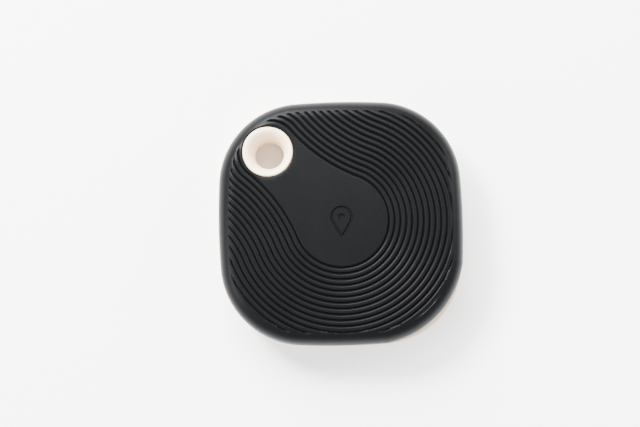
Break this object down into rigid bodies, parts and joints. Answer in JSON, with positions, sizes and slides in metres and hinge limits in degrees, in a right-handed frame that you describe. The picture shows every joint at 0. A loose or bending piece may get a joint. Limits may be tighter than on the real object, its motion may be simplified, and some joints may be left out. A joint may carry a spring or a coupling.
{
  "type": "bluetooth tracker tag",
  "caption": "Rounded-square keyring tracker tag: black ridged soft front that is also the button, ivory rear half with a flared corner eyelet, coin cell inside.",
  "frame": {"origin": "centre of the flat rear face", "axes": "+Z out of the front, which is the pressed face; +Y towards the eyelet's edge; the eyelet is in the -X +Y corner; the tag lies on its back"},
  "size_m": [0.037, 0.037, 0.009],
  "materials": {
    "skin": "matt soft-touch skin with rounded ridges",
    "carrier": "moulded dark grey plastic",
    "ivory_shell": "fine satin ivory plastic",
    "silicone": "pale grey silicone",
    "board": "green solder mask over glass-fibre laminate",
    "screw_steel": "zinc-plated steel",
    "contact_steel": "nickel-plated spring steel",
    "cell_steel": "bright nickel-plated steel",
    "cell_sealing": "dark polypropylene",
    "cathode_mix": "pressed black powder",
    "separator_felt": "white non-woven",
    "lithium": "soft grey metal",
    "switch_plastic": "glass-filled black plastic",
    "switch_metal": "bright stamped sheet",
    "solder_tin": "tinned copper",
    "sounder_plastic": "black moulded plastic",
    "brass_disc": "thin rolled brass",
    "chip_resin": "laser-matt epoxy resin",
    "crystal_can": "gold-flashed lid",
    "aerial_ceramic": "glazed white ceramic",
    "coil_resin": "dark ferrite resin",
    "led_resin": "clear resin over a white base",
    "capacitor_ceramic": "tan fired ceramic",
    "resistor_glaze": "black glaze"
  },
  "bodies": {
    "base": {"rear_shell": "ivory_shell", "housing_gasket": "silicone", "eyelet_seal": "silicone"},
    "front": {"front_skin": "skin", "front_carrier": "carrier", "snap_hooks": "carrier", "circuit_board": "board", "board_screws": "screw_steel", "switch_base": "switch_plastic", "switch_dome": "switch_metal", "switch_frame": "switch_metal", "switch_legs": "solder_tin", "sounder_case": "sounder_plastic", "sounder_disc": "brass_disc", "sounder_terminals": "solder_tin", "bluetooth_chip": "chip_resin", "main_crystal": "crystal_can", "clock_crystal": "crystal_can", "chip_antenna": "aerial_ceramic", "sounder_coil": "coil_resin", "sounder_driver": "chip_resin", "status_led": "led_resin", "capacitors": "capacitor_ceramic", "resistors": "resistor_glaze", "battery_clip": "contact_steel", "negative_contact": "contact_steel", "cell_can": "cell_steel", "cell_cap": "cell_steel", "cell_seal": "cell_sealing", "cell_cathode": "cathode_mix", "cell_separator": "separator_felt", "cell_lithium": "lithium"},
    "button": {"button_membrane": "skin", "button_plunger": "carrier"},
    "switch": {"switch_key": "switch_plastic"}
  },
  "joints": [
    {"name": "cover_lift", "type": "slide", "parent": "base", "child": "front", "axis": [0, 0, 1], "range_m": [0, 0.012], "deforming": ["snap_hooks"]},
    {"name": "button_press", "type": "slide", "parent": "front", "child": "button", "axis": [0, 0, -1], "range_m": [0, 0.0003], "stiffness_N_per_m": 7000},
    {"name": "switch_press", "type": "slide", "parent": "front", "child": "switch", "axis": [0, 0, -1], "range_m": [0, 0.0003], "deforming": ["switch_dome"]}
  ],
  "couplings": [
    {"joint": "switch_press", "follows": "button_press", "ratio": 1}
  ]
}
